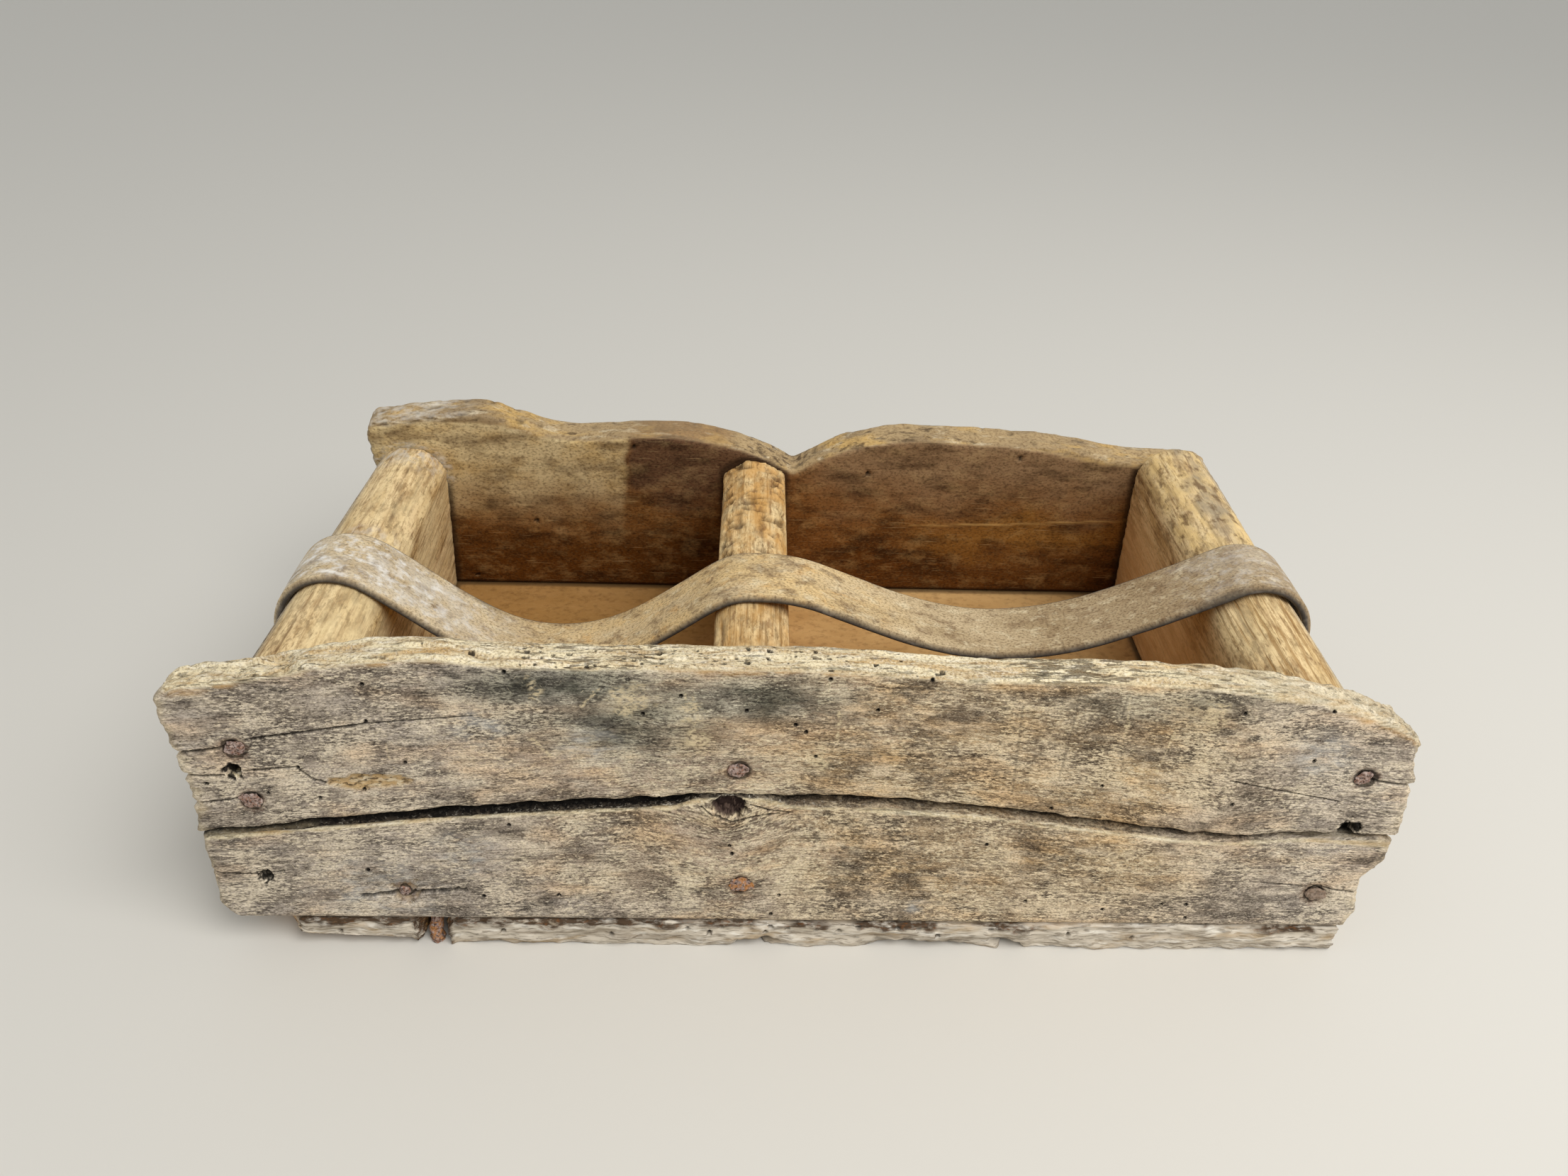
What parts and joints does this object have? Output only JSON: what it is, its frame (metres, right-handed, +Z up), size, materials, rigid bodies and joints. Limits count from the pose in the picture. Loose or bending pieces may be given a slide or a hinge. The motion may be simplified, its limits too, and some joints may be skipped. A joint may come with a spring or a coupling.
{
  "type": "two-section carry box",
  "caption": "Open nailed board tray parted by a divider, with a scalloped back board, a weathered split front board and a leather carrying strap along its length.",
  "frame": {"origin": "middle of the underside of the bottom board, under the middle of the box", "axes": "+X along the box to the right end as seen from its front, +Y to the back board, +Z up"},
  "size_m": [0.462, 0.26, 0.1369],
  "materials": {
    "weathered_board": "bare, weathered grey-brown, scuffed and worm-eaten",
    "back_board_wood": "bare, darkened brown inside",
    "honey_wood": "bare, hand-worn honey brown",
    "floor_wood": "bare tan board, pale worm-eaten edges",
    "old_leather": "dry brown leather with dusty bloom",
    "rusted_iron": "rusted"
  },
  "bodies": {
    "box": {"front_board_upper": "weathered_board", "front_board_lower": "weathered_board", "back_board": "back_board_wood", "left_end_board": "honey_wood", "right_end_board": "honey_wood", "divider_board": "honey_wood", "bottom_board": "floor_wood", "strap_left_span": "old_leather", "strap_right_span": "old_leather", "front_nail_left_top": "rusted_iron", "front_nail_left_middle": "rusted_iron", "front_nail_divider_top": "rusted_iron", "front_nail_divider_low": "rusted_iron", "front_nail_right_top": "rusted_iron", "front_nail_right_low": "rusted_iron", "front_broad_tack": "rusted_iron", "back_nail_left_end_top": "rusted_iron", "back_nail_left_end_low": "rusted_iron", "back_nail_divider_top": "rusted_iron", "back_nail_divider_low": "rusted_iron", "back_nail_right_end_top": "rusted_iron", "back_nail_right_end_low": "rusted_iron", "bottom_nail_front_left": "rusted_iron", "bottom_nail_front_middle": "rusted_iron", "bottom_nail_front_right": "rusted_iron", "bottom_nail_back_left": "rusted_iron", "bottom_nail_back_middle": "rusted_iron", "bottom_nail_back_right": "rusted_iron", "bottom_nail_left_end_front": "rusted_iron", "bottom_nail_left_end_back": "rusted_iron", "bottom_nail_divider_front": "rusted_iron", "bottom_nail_divider_back": "rusted_iron", "bottom_nail_right_end_front": "rusted_iron", "bottom_nail_right_end_back": "rusted_iron", "strap_tack_left_front": "rusted_iron", "strap_tack_left_back": "rusted_iron", "strap_tack_right_front": "rusted_iron", "strap_tack_right_back": "rusted_iron"},
    "grip": {"strap_grip": "old_leather"}
  },
  "joints": [
    {"name": "strap_lift", "type": "slide", "parent": "box", "child": "grip", "axis": [0, 0, 1], "range_m": [0, 0.06], "deforming": ["strap_left_span", "strap_right_span"]}
  ]
}
